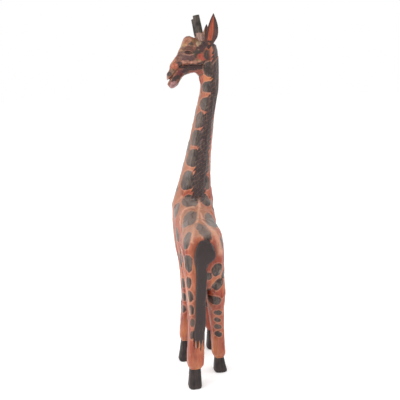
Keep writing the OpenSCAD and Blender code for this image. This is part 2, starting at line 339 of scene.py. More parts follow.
LEGS = ["foreleg_left", "foreleg_right", "hindleg_left", "hindleg_right"]
HOOVES = ["hoof_fore_left", "hoof_fore_right", "hoof_hind_left", "hoof_hind_right"]
HORNS = ["horn_left", "horn_right"]
EARS = ["ear_left", "ear_right"]
DOWELS = ["neck_dowel", "head_dowel", "leg_dowels"]


# ---------- the paint: where each burnt mark lies ----------

BARE = -20.0  # a mark's value where there is none of its paint
SPOT_CORNER = 2.4  # 2 is an ellipse, more is squarer
SPOT_WRAP = 0.6  # how far a spot follows the curve round its middle, from 0 to 1
# Spots of the neck and the back: middle, the way they run, half width, half length
SPOTS = [
    ((-30, -55, 517), (0, 0, 1), 13, 12.5),
    ((-26, -54, 487), (0, -0.1, 1), 13, 9),
    ((-22, -50, 458), (0, -0.2, 1), 15, 12),
    ((-5, -50, 431), (-0.2, -0.15, 1), 9, 14),
    ((-20, -46, 430), (0, -0.1, 1), 5.5, 8),
    ((1, -46, 399), (-0.15, -0.2, 1), 12.5, 14),
    ((9, -40, 365), (-0.2, -0.2, 1), 13, 15.5),
    ((20, -37, 327), (-0.25, -0.1, 1), 12.5, 17),
    ((19, -24, 292), (-0.15, -0.7, 0.7), 14, 13.5),
    ((-12, -26, 290), (-0.15, -0.8, 0.6), 8.5, 12.5),
    ((-15, -38, 320), (0, 0, 1), 7.5, 11),
    ((-17, -40, 352), (0, 0, 1), 6.5, 12),
    ((-32, -30, 275), (0, -0.5, 0.9), 8, 16),
    ((26, 21, 269), (-0.35, -0.9, 0.2), 13.5, 26),
    ((-8, 33, 268), (-0.05, -0.97, 0.15), 10.5, 30),
    ((13, 72, 261), (0.2, -0.93, 0.3), 9.5, 25),
    ((40, 76, 248), (-0.3, -0.45, 0.8), 10.5, 14.5),
    ((43, -29, 275), (0, -0.5, 0.8), 12, 14),
    ((-14, 84, 243), (0, -0.6, 0.8), 5.5, 14),
    ((42, 86, 213), (-0.1, 0, 1), 9, 13.5),
    ((46, 58, 216), (0, 0.3, 0.9), 8, 9),
    ((43, -16, 236), (0, 0.2, 1), 11, 13),
    ((41, 2, 206), (0, 0.3, 1), 10, 11),
    ((-30, 50, 222), (0, 0.4, 0.9), 11, 14),
]

# Spots of the legs, told the same way
LEG_SPOTS = [
    ((41, 86, 182), (0, 0.1, 1), 5.2, 9),
    ((39, 86, 158), (0, 0, 1), 5.2, 8.5),
    ((38, 87, 136), (0, 0, 1), 4.8, 7.5),
    ((38, 89, 114), (0, 0, 1), 3.6, 6.6),
    ((39, 91, 94), (0, 0, 1), 3.2, 5.6),
    ((-5, 92, 200), (0, 0, 1), 10, 10.5),
    ((8, 92, 190), (0, 0.2, 1), 4.4, 6.6),
    ((-8, 80, 171), (-0.6, 0.25, 0.75), 8.5, 11),
    ((-3, 70, 145), (0.86, -0.31, 0.41), 8, 12),
    ((-10, 61, 117), (0.84, 0.1, 0.5), 4.8, 7),
    ((-10, 57, 103), (0.84, 0.1, 0.5), 4.4, 6.6),
    ((-11, 54, 89), (0.84, 0.05, 0.5), 4.8, 6.8),
    ((-11, 51, 75), (0.84, 0, 0.5), 4.8, 6.8),
    ((35, -20, 146), (0, 0, 1), 6, 8),
    ((36, -21, 120), (0, 0, 1), 6, 7.5),
    ((37, -19, 99), (0, 0, 1), 5, 7),
]

# The mane runs down the back of the neck from the crown to the withers
MANE = curve_through([
    (-41, -61, 562), (-41, -60, 549), (-40, -58, 527), (-39, -58, 507), (-37, -56, 486), (-30, -51, 455),
    (-23, -47, 430), (-15, -42, 395), (-10, -38, 366), (-5, -35, 344), (-1, -33, 321), (1, -30, 297)])


def ovals(P, N, spots):
    """Depth inside the nearest spot's edge, in millimetres: positive inside and negative outside."""
    inside = np.full(len(P), -60.0)
    for middle, runs, across, along in spots:
        runs = np.array(runs, float) / np.linalg.norm(runs)
        r = P - np.array(middle, float)
        centre = (r * r).sum(1).argmin()
        r = P - P[centre]
        r = r - SPOT_WRAP * np.outer(r @ N[centre], N[centre])
        a = np.abs(r @ runs)
        b = np.sqrt(np.maximum((r * r).sum(1) - a * a, 0))
        k = ((b / across) ** SPOT_CORNER + (a / along) ** SPOT_CORNER) ** (1 / SPOT_CORNER)
        away = 40 * ease(0.1, -0.4, N @ N[centre])  # it doesn't show on the far side
        inside = np.maximum(inside, (1 - k) * min(across, along) - away)
    return inside


# How the spots that fill the rest of the body are drawn: from this height up, the least and the
# extra half width, the least and the extra half length, and the gap between spots
SPOT_SIZES = [(290, 8.5, 4, 11, 7, 3.5), (170, 9, 5, 12, 9, 4.5), (0, 4.5, 1.5, 5.5, 2, 5.0)]
SPOT_TRIES, SPOT_SEED = 9000, 11
SPOT_LOW, SPOT_HIGH = 84, 545  # the cuffs and the crown stay plain
FACE_LOW, FACE_FROM_X = 500, -24  # the face has its own paint
CUFF_TO_BELLY = 150  # above this height the underside and the rear have only the listed spots
SPOT_LEAN = 0.4


def more_spots(skin, known):
    """Spots for the front, the sides and the legs, each kept clear of the mane and of the others."""
    rng = np.random.default_rng(SPOT_SEED)
    where = np.array([s[0] for s in known], float)
    size = np.array([max(s[2], s[3]) for s in known])
    extra = []
    for i in rng.permutation(len(skin.P))[:SPOT_TRIES]:
        p = skin.P[i]
        if p[2] > SPOT_HIGH or p[2] < SPOT_LOW or (p[2] > FACE_LOW and p[0] > FACE_FROM_X):
            continue
        if skin.N[i][2] < -0.6 and p[2] > CUFF_TO_BELLY:
            continue
        _, wide, wider, long, longer, space = next(row for row in SPOT_SIZES if p[2] > row[0])
        across, along = wide + wider * rng.random(), long + longer * rng.random()
        if np.linalg.norm(MANE - p, axis=1).min() < across + 10:
            continue
        if skin.N[i][1] > 0.35 and p[1] > -60 and p[2] > CUFF_TO_BELLY:
            continue
        gap = np.linalg.norm(where - p, axis=1) - size * 0.9 - along * 0.9
        if gap.min() < space:
            continue
        lean = rng.normal(0, SPOT_LEAN, 2)
        extra.append((tuple(p), (lean[0], lean[1], 1), across, along))
        where = np.vstack([where, p])
        size = np.append(size, max(across, along))
    return extra


# ---------- carving the body ----------


def tenon_plug(name, radii, sink):
    """A lump just under the surface that fills the socket of a small piece."""
    low, high = box_of(name)
    P, _ = node_shape(name)
    foot = P[P[:, 2] < low[2] + 4].mean(0)
    return ball(foot + np.array(sink), radii)


def head_plugs():
    """The lumps that fill the sockets of the horns and the ears."""
    plugs = [tenon_plug(n, (7, 7, 7), (1, 0, 4)) for n in HORNS]
    for n, side in zip(EARS, (1, -1)):
        plugs.append(tenon_plug(n, (10, 5, 10), (0, -2.5 * side, 9)))
    return plugs


def with_heights(shape, where, z):
    """The shape with the points that where picks moved to one height."""
    P, faces = shape
    P = P.copy()
    P[where(P[:, 2]), 2] = z
    return P, faces


# The belly is lifted clear of the plane that the legs are cut at, and the legs run up into it
BELLY_Z = leg_seat_z + 4.0
LEG_TOP_Z = leg_seat_z + 10.0
solids = [with_heights(node_shape("torso"), lambda z: z < leg_seat_z + 0.1, BELLY_Z)]
solids += [with_heights(node_shape(n), lambda z: z > leg_seat_z - 0.1, LEG_TOP_Z) for n in LEGS]
solids += [node_shape(n) for n in ["neck", "head"] + DOWELS]
solids += head_plugs()
tail_low, tail_high = box_of("tail")
solids.append(ball(((tail_low[0] + tail_high[0]) / 2 - 2, tail_low[1] + 3, tail_high[2] - 23), (7, 7, 7)))
for n in HOOVES:
    low, high = box_of(n)
    P, _ = node_shape(n)
    top = P[P[:, 2] > high[2] - 1].mean(0)
    solids.append(ball(top - np.array([0, 0, 8]), (5, 5, 8)))

# The raised edges of the back, the haunches and the shoulders
SPINE = curve_through([
    (2, -27, 294), (4, -12, 283), (8, 2, 277), (13, 23, 271), (19, 46, 267), (26, 69, 262), (31, 83, 256),
    (33, 89, 248)])
HAUNCH_LEFT = curve_through([
    (14, -14, 284), (24, -13, 282), (32, -11, 279), (38, 1, 268), (42, 9, 258), (44, 17, 245), (45, 28, 234),
    (46, 49, 229), (46, 67, 227), (45, 77, 216), (44, 77, 195), (43, 79, 166), (41, 83, 146), (40, 86, 128)])
HAUNCH_RIGHT = curve_through([
    (5, 6, 276), (7, 34, 269), (5, 51, 266), (2, 66, 263), (-3, 80, 258), (-7, 89, 247), (-11, 91, 228)])
SHOULDER_LEFT = curve_through([
    (30, -36, 298), (40, -46, 282), (44, -50, 250), (43, -44, 205), (38, -34, 165)])
SHOULDER_RIGHT = curve_through([
    (-20, -32, 292), (-31, -36, 270), (-36, -34, 235), (-35, -40, 200), (-33, -46, 165)])
# Each edge: its path, its height and width, and the depth and width of the dip along it
EDGES = [
    (SPINE, 2.2, 5, 0.8, 14),
    (HAUNCH_LEFT, 1.7, 4.5, 0.6, 12),
    (HAUNCH_RIGHT, 1.7, 4.5, 0.6, 12),
    (SHOULDER_LEFT, 1.3, 5, 0.5, 13),
    (SHOULDER_RIGHT, 1.3, 5, 0.5, 13),
]
# The waist is drawn in between shoulder and haunch on both sides
WAISTS, WAIST_RADII, WAIST_DEPTH = [(42, 12, 232), (-30, 12, 232)], (26, 34, 46), 4.5
# The right haunch runs smoothly into its leg: it is filled below and flattened above
FILLED, FILLED_RADII, FILLED_BY = (-6, 70, 142), (26, 26, 36), 4.0
FLATTENED, FLATTENED_RADII, FLATTENED_BY = (-6, 86, 180), (28, 22, 24), 3.5
KNEES = [(28, -38, 104), (-22, -66, 104), (28, 72, 112), (-10, 42, 112)]
KNEE_RADII, KNEE_HEIGHT = (22, 22, 17), 1.2
CREST_HALF, CREST_HEIGHT = 9, 1.3  # the mane's flat crest
CROWN_FROM, CROWN_TO = 498, 520  # over these heights the knife cuts fade out, as the head has its own


def ridge(P, path, width):
    """1 on a path, falling smoothly to 0 beside it."""
    return np.exp(-((to_path(P, path)[0] / width) ** 2))


def carve_body(skin):
    P = skin.P
    near_neck_seat = np.exp(-(((P - neck_seat_at) @ neck_seat_up / 22) ** 2))
    near_legs = np.exp(-(((P[:, 2] - leg_seat_z) / 14) ** 2)) * (P[:, 2] < 240)
    skin.relax(2.6)
    skin.relax(7, near_neck_seat)
    skin.relax(5, near_legs)
    for waist in WAISTS:
        skin.push(-WAIST_DEPTH * dome(skin.P, waist, WAIST_RADII))
    filled = FILLED_BY * dome(skin.P, FILLED, FILLED_RADII)
    skin.push(filled - FLATTENED_BY * dome(skin.P, FLATTENED, FLATTENED_RADII), 8)
    for path, height, width, dip, dip_width in EDGES:
        skin.push(height * ridge(skin.P, path, width) - dip * ridge(skin.P, path, dip_width))
    for knee in KNEES:
        skin.push(KNEE_HEIGHT * dome(skin.P, knee, KNEE_RADII))
    off, _ = to_path(skin.P, MANE)
    skin.push(CREST_HEIGHT * ease(CREST_HALF, CREST_HALF - 2.5, off))
    skin.relax(1.2)
    below_crown = 1 - ease(CROWN_FROM, CROWN_TO, skin.P[:, 2])
    skin.facets(13, 0.75, 1.8, 5, below_crown)
    skin.relax(1.3)
    grain = 0.16 * cloud(skin.P, np.array([5, 5, 16]), 3)
    skin.P += skin.normals(3) * (grain * below_crown)[:, None]


body = Skin(solids, BODY_VOXEL)
carve_body(body)
body.N = body.normals(8)
spots = SPOTS + LEG_SPOTS
spots = spots + more_spots(body, spots)


# The brush strokes that carry the tail's paint on down the leg: the face they lie on, their middle,
# half width, lower end and top, and the width of one stroke
TAIL_FACE_Y = tail_low[1] + 2
TAIL_MIDDLE_X, TAIL_PAINT_HALF = 27.5, 9.5
TAIL_END_Z = tail_low[2] + 2
TAIL_PAINT_TOP = TAIL_END_Z + 26
TAIL_STROKE = 5.6


def tail_strokes(P):
    """Depth inside the brush strokes that end the tail's paint on the left hind leg."""
    wave = P[:, 0] / TAIL_STROKE * 2 * math.pi
    end = TAIL_END_Z + 9 * np.cos(wave) + 3 * np.cos(wave / 2 + 1)
    inside = np.minimum(P[:, 2] - end, TAIL_PAINT_HALF - np.abs(P[:, 0] - TAIL_MIDDLE_X))
    return np.where(P[:, 1] > TAIL_FACE_Y, np.minimum(inside, TAIL_PAINT_TOP - P[:, 2]), BARE)


STROKE_PITCH, STROKE_SLANT, STROKE_REACH = 8.5, 1.1, 5.5
MANE_TOP_HALF, MANE_FOOT_HALF = 8.5, 12.0


def mane_marks(P):
    """Depth inside the mane, with its slanting brush strokes on both edges, and the strokes' own phase."""
    off, along = to_path(P, MANE)
    steps = np.concatenate([[0], np.cumsum(np.linalg.norm(np.diff(MANE, axis=0), axis=1))])
    left = off * np.sign(P[:, 0] - np.interp(along, steps, MANE[:, 0]))
    half = MANE_TOP_HALF + (MANE_FOOT_HALF - MANE_TOP_HALF) * ease(70, 240, along)
    slant = (along - STROKE_SLANT * left) / STROKE_PITCH + 0.35 * cloud(P, 9, 8)
    stroke = np.abs(slant % 1 - 0.5) * 2
    return half - off + STROKE_REACH * (stroke - 0.45) * ease(0, 30, along), stroke


SEAM_WIDTH, SEAM_STRENGTH = 1.4, 0.5
LINE_WIDTH = 2.2  # of the pale lines along the raised edges, which are painted highlight where the edges catch the light, with some rubbed wood
CUFF_TOP = 59  # no spot reaches below this height


def head_seam(P):
    """The pale line along the glued joint between neck and head, which shows at the nape."""
    off = (P - head_seat_at) @ head_seat_up / SEAM_WIDTH
    return SEAM_STRENGTH * np.exp(-(off**2)) * ease(-28, -36, P[:, 0])


def body_marks(skin):
    P = skin.P
    wobble = 1.7 * cloud(P, 9, 21) + 0.7 * cloud(P, 3.5, 22)
    wobble = wobble * (0.45 + 0.55 * ease(150, 200, P[:, 2]))  # the small spots of the legs are rounder
    mane, stroke = mane_marks(P)
    lines = [ridge(P, path, LINE_WIDTH) for path in (SPINE, HAUNCH_LEFT, SHOULDER_LEFT, SHOULDER_RIGHT)]
    lines.append(ridge(P, HAUNCH_RIGHT, LINE_WIDTH + 3.0 * ease(50, 75, P[:, 1])))
    skin.marks = {
        "spot": np.where(P[:, 2] > CUFF_TOP, ovals(P, skin.N, spots) + wobble, BARE),
        "mane": mane,
        "stroke": stroke,
        "tail": tail_strokes(P),
        "line": np.max(lines + [head_seam(P)], axis=0),
        "crease": skin.hollow(3.5),
        # painted sheen: 1 where the back faces up and to the left, where it would catch the light
        "top": ease(0.3, 0.95, skin.normals(24) @ (0.5, 0, 1)) * ease(235, 250, P[:, 2]),
    }


body_marks(body)


# ---------- carving the head ----------

head = Skin([node_shape(n) for n in ("neck", "head", "neck_dowel", "head_dowel")] + head_plugs(), HEAD_VOXEL)
head_low, head_high = box_of("head")
HEAD_Y = (head_low[1] + head_high[1]) / 2

# The head leans a little to one side about a point inside it
HEAD_ROLL = math.radians(8)
HEAD_PIVOT_Z = 530.0


def face_frame(P):
    """The head's own lengths: towards the muzzle, out from its middle plane, and up."""
    y, z = P[:, 1] - HEAD_Y, P[:, 2] - HEAD_PIVOT_Z
    c, s = math.cos(HEAD_ROLL), math.sin(HEAD_ROLL)
    return np.stack([P[:, 0], np.abs(y * c + z * s), HEAD_PIVOT_Z + z * c - y * s], 1)


def side_path(F, points, width):
    """How near a point is to a line drawn on the side of the face."""
    flat = np.array([(x, 0, z) for x, z in points], float)
    d, along = to_path(F * (1, 0, 1), flat)
    return np.exp(-((d / width) ** 2)), along


# Places on the side of the face: towards the muzzle, and height
EYE = (9.3, 543.0)
EYE_HALF, EYE_OPEN = 7.2, 2.7
EYE_TILT = 0.19
BROW = [(21, 547), (17, 552), (9, 554.5), (0, 552), (-8, 547)]
LOWER_LID = [(17, 541.5), (12, 539), (6, 538), (0, 539.5)]
CHEEK_RIDGE = [(27, 524), (20, 527), (6, 526), (-10, 523.5), (-20, 527)]
JAW_GROOVE = [(27, 516), (20, 520.5), (6, 520), (-18, 519)]
MOUTH = [(46, 497), (38.4, 503.5), (34.9, 508.7), (28.7, 515)]
NOSTRIL = (39.5, 512)
# Hollows and swellings on the side: middle, half length, half height, and how far out they stand
SIDE_SHAPES = [
    (EYE[0], EYE[1] - 1, 14, 8.5, -2.4),
    (-8, 533, 13, 9, 1.4),
    (-9, 549, 9, 7, -1.6),
]
# Carved lines on the side: path, width, and how far out they stand
SIDE_LINES = [(BROW, 3.2, 2.3), (CHEEK_RIDGE, 3.6, 2.0), (JAW_GROOVE, 2.4, -2.6)]
# The bridge of the nose, the upper lip, the chin, and the hollow behind the corner of the mouth
MUZZLE_SHAPES = [
    ((37, 0, 525), (8, 14, 7), 1.3),
    ((41, 0, 509), (6, 12, 6), 1.2),
    ((37, 0, 493), (8, 12, 6), 1.0),
    ((30, 14, 508), (7, 8, 6), -1.2),
]
LID_HEIGHT, EYEBALL_HEIGHT, EYE_EDGE_DEPTH = 0.9, 0.7, 0.8
NOSTRIL_RADIUS, NOSTRIL_DEPTH = 1.7, 1.5
MOUTH_DEPTH, MOUTH_CORNER_DEPTH = 4.5, 2.2


def face_side(F):
    """0 near the middle plane of the face and 1 on its side."""
    return ease(3, 9, F[:, 1])


def almond(F):
    """1 at the middle of the eye's opening and 0 on its edge."""
    x, z = F[:, 0] - EYE[0], F[:, 2] - EYE[1]
    a, b = x + z * EYE_TILT, z - x * EYE_TILT
    return 1 - (a / EYE_HALF) ** 2 - np.abs(b) / EYE_OPEN


def carve_head(skin):
    skin.relax(3.4)
    skin.facets(8.5, 0.45, 1.0, 9)
    skin.relax(1.0)
    F = face_frame(skin.P)
    side = face_side(F)
    amount = np.zeros(len(F))
    for x, z, half_length, half_height, out in SIDE_SHAPES:
        oval = 1 - ((F[:, 0] - x) / half_length) ** 2 - ((F[:, 2] - z) / half_height) ** 2
        amount += out * np.clip(oval, 0, 1) * side
    for path, width, out in SIDE_LINES:
        amount += out * side_path(F, path, width)[0] * side
    for middle, radii, out in MUZZLE_SHAPES:
        amount += out * dome(F, middle, radii)
    skin.push(amount, 4)
    skin.relax(0.8)
    # lids, eyeball and nostrils
    F = face_frame(skin.P)
    side = face_side(F)
    k = almond(F)
    upper_lid = ease(-0.75, -0.25, k) * ease(0.12, -0.1, k) * (F[:, 2] > EYE[1] - 1)
    amount = LID_HEIGHT * side_path(F, LOWER_LID, 1.3)[0] * side
    amount += LID_HEIGHT * upper_lid * side
    amount -= EYE_EDGE_DEPTH * ease(-0.12, 0.05, k) * ease(0.35, 0.1, k) * side
    amount += EYEBALL_HEIGHT * ease(0.1, 0.6, k) * side
    nostril = np.hypot(F[:, 0] - NOSTRIL[0], (F[:, 2] - NOSTRIL[1]) * 0.8)
    amount -= NOSTRIL_DEPTH * np.exp(-((nostril / NOSTRIL_RADIUS) ** 2)) * ease(2, 5, F[:, 1])
    skin.push(amount, 3)
    # the mouth is a slit between the lips that runs back along the jaw
    F = face_frame(skin.P)
    near, _ = side_path(F, MOUTH, 1.5)
    inward = np.array([-0.8, 0, 0.6])
    front = ease(33, 42, F[:, 0])
    skin.P = skin.P + inward * (near * front * MOUTH_DEPTH)[:, None]
    skin.push(-MOUTH_CORNER_DEPTH * near * ease(2, 6, F[:, 1]) * ease(26, 31, F[:, 0]), 4)
    skin.relax(0.6)


carve_head(head)

# Colours laid over the face, told as middle towards the muzzle, middle height, half length,
# half height, tilt in degrees, colour and strength
FACE_GROUND, EYE_COLOUR, LID_COLOUR = (148, 88, 64), (58, 36, 34), (186, 136, 116)
FACE_SHADE = 0.62  # the list tells the colours as lit
FACE_PAINT = [
    (9, 562, 12, 7, -20, (188, 124, 92), 0.9),
    (17, 551, 5, 8, 25, (196, 148, 92), 0.9),
    (5, 555, 5, 7, 30, (78, 64, 46), 0.95),
    (-4, 562, 8, 4, 5, (140, 100, 62), 0.9),
    (-10, 557, 7, 5, -10, (190, 160, 128), 0.8),
    (-20, 556, 6.5, 8, 10, (60, 44, 46), 0.95),
    (-12, 548, 12, 6, -28, (72, 46, 46), 0.95),
    (10, 549, 12, 4.5, 6, (112, 70, 60), 0.9),
    (12, 534.5, 15, 6, 8, (98, 68, 68), 0.95),
    (20, 539, 5, 9, 30, (118, 80, 68), 0.8),
    (28, 531, 5, 8, 35, (132, 86, 70), 0.9),
    (35, 531, 5, 9, 35, (200, 128, 94), 0.9),
    (-5, 540, 8, 7, -20, (66, 58, 48), 0.95),
    (-12, 534, 5, 7.5, -35, (188, 82, 62), 0.95),
    (-24, 538, 6.5, 9, 15, (64, 52, 48), 0.95),
    (-6, 528, 7, 3, 0, (140, 120, 80), 0.8),
    # painted highlight along the cheek ridge
    (6, 527.5, 19, 2.6, 3, (196, 138, 116), 0.9),
    # painted shade in the groove under the cheek ridge
    (0, 519.5, 28, 4.6, 0, (56, 38, 38), 0.95),
    (25, 524, 5, 5, -35, (58, 38, 38), 0.95),
    (33, 521, 7, 6, -30, (196, 104, 70), 0.95),
    (36, 514, 5, 5, -40, (122, 92, 68), 0.85),
    (41, 509.5, 4.5, 4.5, 0, (60, 50, 46), 0.95),
    (24, 510, 8, 5, -30, (118, 44, 50), 0.9),
    (15, 513, 8, 4, -10, (62, 42, 46), 0.9),
    (32, 501, 9, 5, -35, (54, 42, 42), 0.95),
    (35, 491.5, 7, 4.5, -20, (192, 142, 142), 0.95),
    (-6, 511.5, 12, 3.6, 5, (178, 84, 60), 0.9),
    (-28, 551, 8, 3.6, -35, (182, 100, 72), 0.9),
    (-36, 543, 6, 3.6, -45, (176, 96, 70), 0.9),
    (-39, 552, 7, 9, 0, (66, 46, 44), 0.95),
    (-36, 530, 12, 9, 40, (60, 44, 42), 0.95),
    (-20, 522, 10, 6, 0, (60, 44, 42), 0.95),
]


def srgb(r, g, b):
    """Linear light from the 0 to 255 values of a paint chart."""
    light = []
    for c in (r, g, b):
        light.append((c / 255 / 12.92) if c / 255 <= 0.04045 else ((c / 255 + 0.055) / 1.055) ** 2.4)
    return (*light, 1)


def over(colour, paint, strength):
    """The colours with a paint laid over them, as strongly as is told for each point."""
    strength = strength[:, None]
    return colour * (1 - strength) + np.array(srgb(*paint)) * strength


def face_colour(skin):
    """The painted colour of each point of the head, as linear light, from the list above."""
    F = face_frame(skin.P)
    wander = np.stack([1.6 * cloud(skin.P, 5, 31), np.zeros(len(F)), 1.6 * cloud(skin.P, 5, 32)], 1)
    colour = np.tile(srgb(*FACE_GROUND), (len(F), 1))
    for x, z, a, b, tilt, paint, strength in FACE_PAINT:
        t = math.radians(tilt)
        u, v = (F + wander)[:, 0] - x, (F + wander)[:, 2] - z
        k = np.hypot((u * math.cos(t) + v * math.sin(t)) / a, (v * math.cos(t) - u * math.sin(t)) / b)
        colour = over(colour, paint, ease(1.15, 0.75, k + 0.18 * cloud(skin.P, 2.6, 33)) * strength)
    mottle = 1 + 0.36 * cloud(skin.P, 3.4, 34) + 0.22 * cloud(skin.P, 1.5, 35)
    colour[:, :3] *= mottle[:, None]
    colour = over(colour, EYE_COLOUR, ease(-0.08, 0.12, almond(F)))
    colour = over(colour, LID_COLOUR, side_path(F, LOWER_LID, 1.2)[0] * 0.7)
    return colour * (FACE_SHADE, FACE_SHADE, FACE_SHADE, 1)


head_mane, head_stroke = mane_marks(head.P)
head.marks = {
    "spot": ovals(head.P, head.normals(12), [s for s in spots if s[0][2] > 480]),
    "mane": head_mane,
    "stroke": head_stroke,
    "line": head_seam(head.P),
    "top": np.zeros(len(head.P)),
    "tail": np.full(len(head.P), BARE),
    "face": ease(-34, -24, head.P[:, 0]),
    "crease": head.hollow(2.5),
    "eye": ease(0.0, 0.15, almond(face_frame(head.P))) * face_side(face_frame(head.P)),
}
head.tint = face_colour(head)


# ---------- materials ----------


class Shader:
    """A node tree under construction. Inputs are values or other nodes' outputs."""

    def __init__(self, name):
        self.material = bpy.data.materials.new(name)
        self.material.use_nodes = True
        self.tree = self.material.node_tree
        self.tree.nodes.clear()

    def add(self, kind, inputs=None, **settings):
        node = self.tree.nodes.new("ShaderNode" + kind)
        for key, value in settings.items():
            setattr(node, key, value)
        for key, value in (inputs or {}).items():
            self.feed(node.inputs[key], value)
        return node

    def feed(self, socket, value):
        if isinstance(value, bpy.types.NodeSocket):
            self.tree.links.new(value, socket)
        else:
            socket.default_value = value

    def mark(self, name):
        return self.add("Attribute", attribute_name=name).outputs["Fac"]

    def math(self, operation, a, b=0.0, c=0.0):
        return self.add("Math", {0: a, 1: b, 2: c}, operation=operation).outputs[0]

    def range(self, value, low, high, to_low=0.0, to_high=1.0):
        ends = {"Value": value, "From Min": low, "From Max": high, "To Min": to_low, "To Max": to_high}
        return self.add("MapRange", ends, interpolation_type="SMOOTHSTEP").outputs["Result"]

    def mix(self, amount, a, b):
        node = self.add("Mix", data_type="RGBA")
        for key, value in ((0, amount), (6, a), (7, b)):
            self.feed(node.inputs[key], value)
        return node.outputs[2]

    def place(self, scale=(1, 1, 1)):
        """Coordinates in statue millimetres, scaled."""
        where = self.add("TexCoord").outputs["Object"]
        scale = tuple(s / UNIT for s in scale)
        return self.add("Mapping", {"Vector": where, "Scale": scale}).outputs["Vector"]

    def noise(self, where, scale, detail=3.0, rough=0.55, distort=0.0):
        values = {"Vector": where, "Scale": scale, "Detail": detail, "Roughness": rough}
        return self.add("TexNoise", {**values, "Distortion": distort}).outputs["Fac"]

    def finish(self, colour, rough, height, strength, distance, coat, coat_rough=0.3, specular=0.5):
        bump = self.add("Bump", {"Height": height, "Strength": strength, "Distance": distance * UNIT})
        skin = self.add("BsdfPrincipled", {
            "Base Color": colour, "Roughness": rough, "Normal": bump.outputs["Normal"],
            "Coat Weight": coat, "Coat Roughness": coat_rough, "Specular IOR Level": specular})
        self.add("OutputMaterial", {"Surface": skin.outputs["BSDF"]})
        return self.material


ORANGE, DEEP, TAN = srgb(164, 74, 48), srgb(114, 44, 31), srgb(182, 112, 78)
SPOT_DARK, SPOT_GREY = srgb(46, 35, 31), srgb(92, 77, 69)
MANE_DARK, MANE_LIGHT = srgb(44, 32, 31), srgb(74, 56, 52)
AMBER = srgb(192, 118, 56)
# The second colour is painted shade for the hollows, and it also darkens the grain of the face.
PALE_EDGE, GRAIN_AND_SHADE_DARK = srgb(208, 154, 128), srgb(70, 36, 28)
# Painted sheen: paler, greyer ground and spots where the back faces up and to the left, towards the lamps
SHEEN_GROUND, SHEEN_SPOT = srgb(158, 122, 100), srgb(124, 108, 100)
STROKE_LINE, BARE_WOOD, WORN_DARK = srgb(132, 92, 78), srgb(206, 170, 142), srgb(122, 98, 88)
SHEEN_SHARE = 0.65  # how much of the painted sheen shows on the back


def wood_ground(s, along):
    """Stained wood: streaks along the grain, and slow changes of tone."""
    streak = s.noise(s.place(along), 1.0, 4, 0.6, 0.6)
    slow = s.noise(s.place((1, 1, 0.6)), 0.024, 3, 0.5)
    colour = s.mix(s.range(streak, 0.3, 0.7), ORANGE, DEEP)
    colour = s.mix(s.range(slow, 0.42, 0.66, 0, 0.75), colour, TAN)
    glow = s.noise(s.place((1, 1, 0.7)), 0.045, 2, 0.5)
    colour = s.mix(s.range(glow, 0.54, 0.74, 0, 0.6), colour, AMBER)
    fine = s.noise(s.place(tuple(4 * a for a in along)), 1.0, 3, 0.7)
    return s.mix(s.range(fine, 0.35, 0.75, 0, 0.4), colour, DEEP), streak, fine


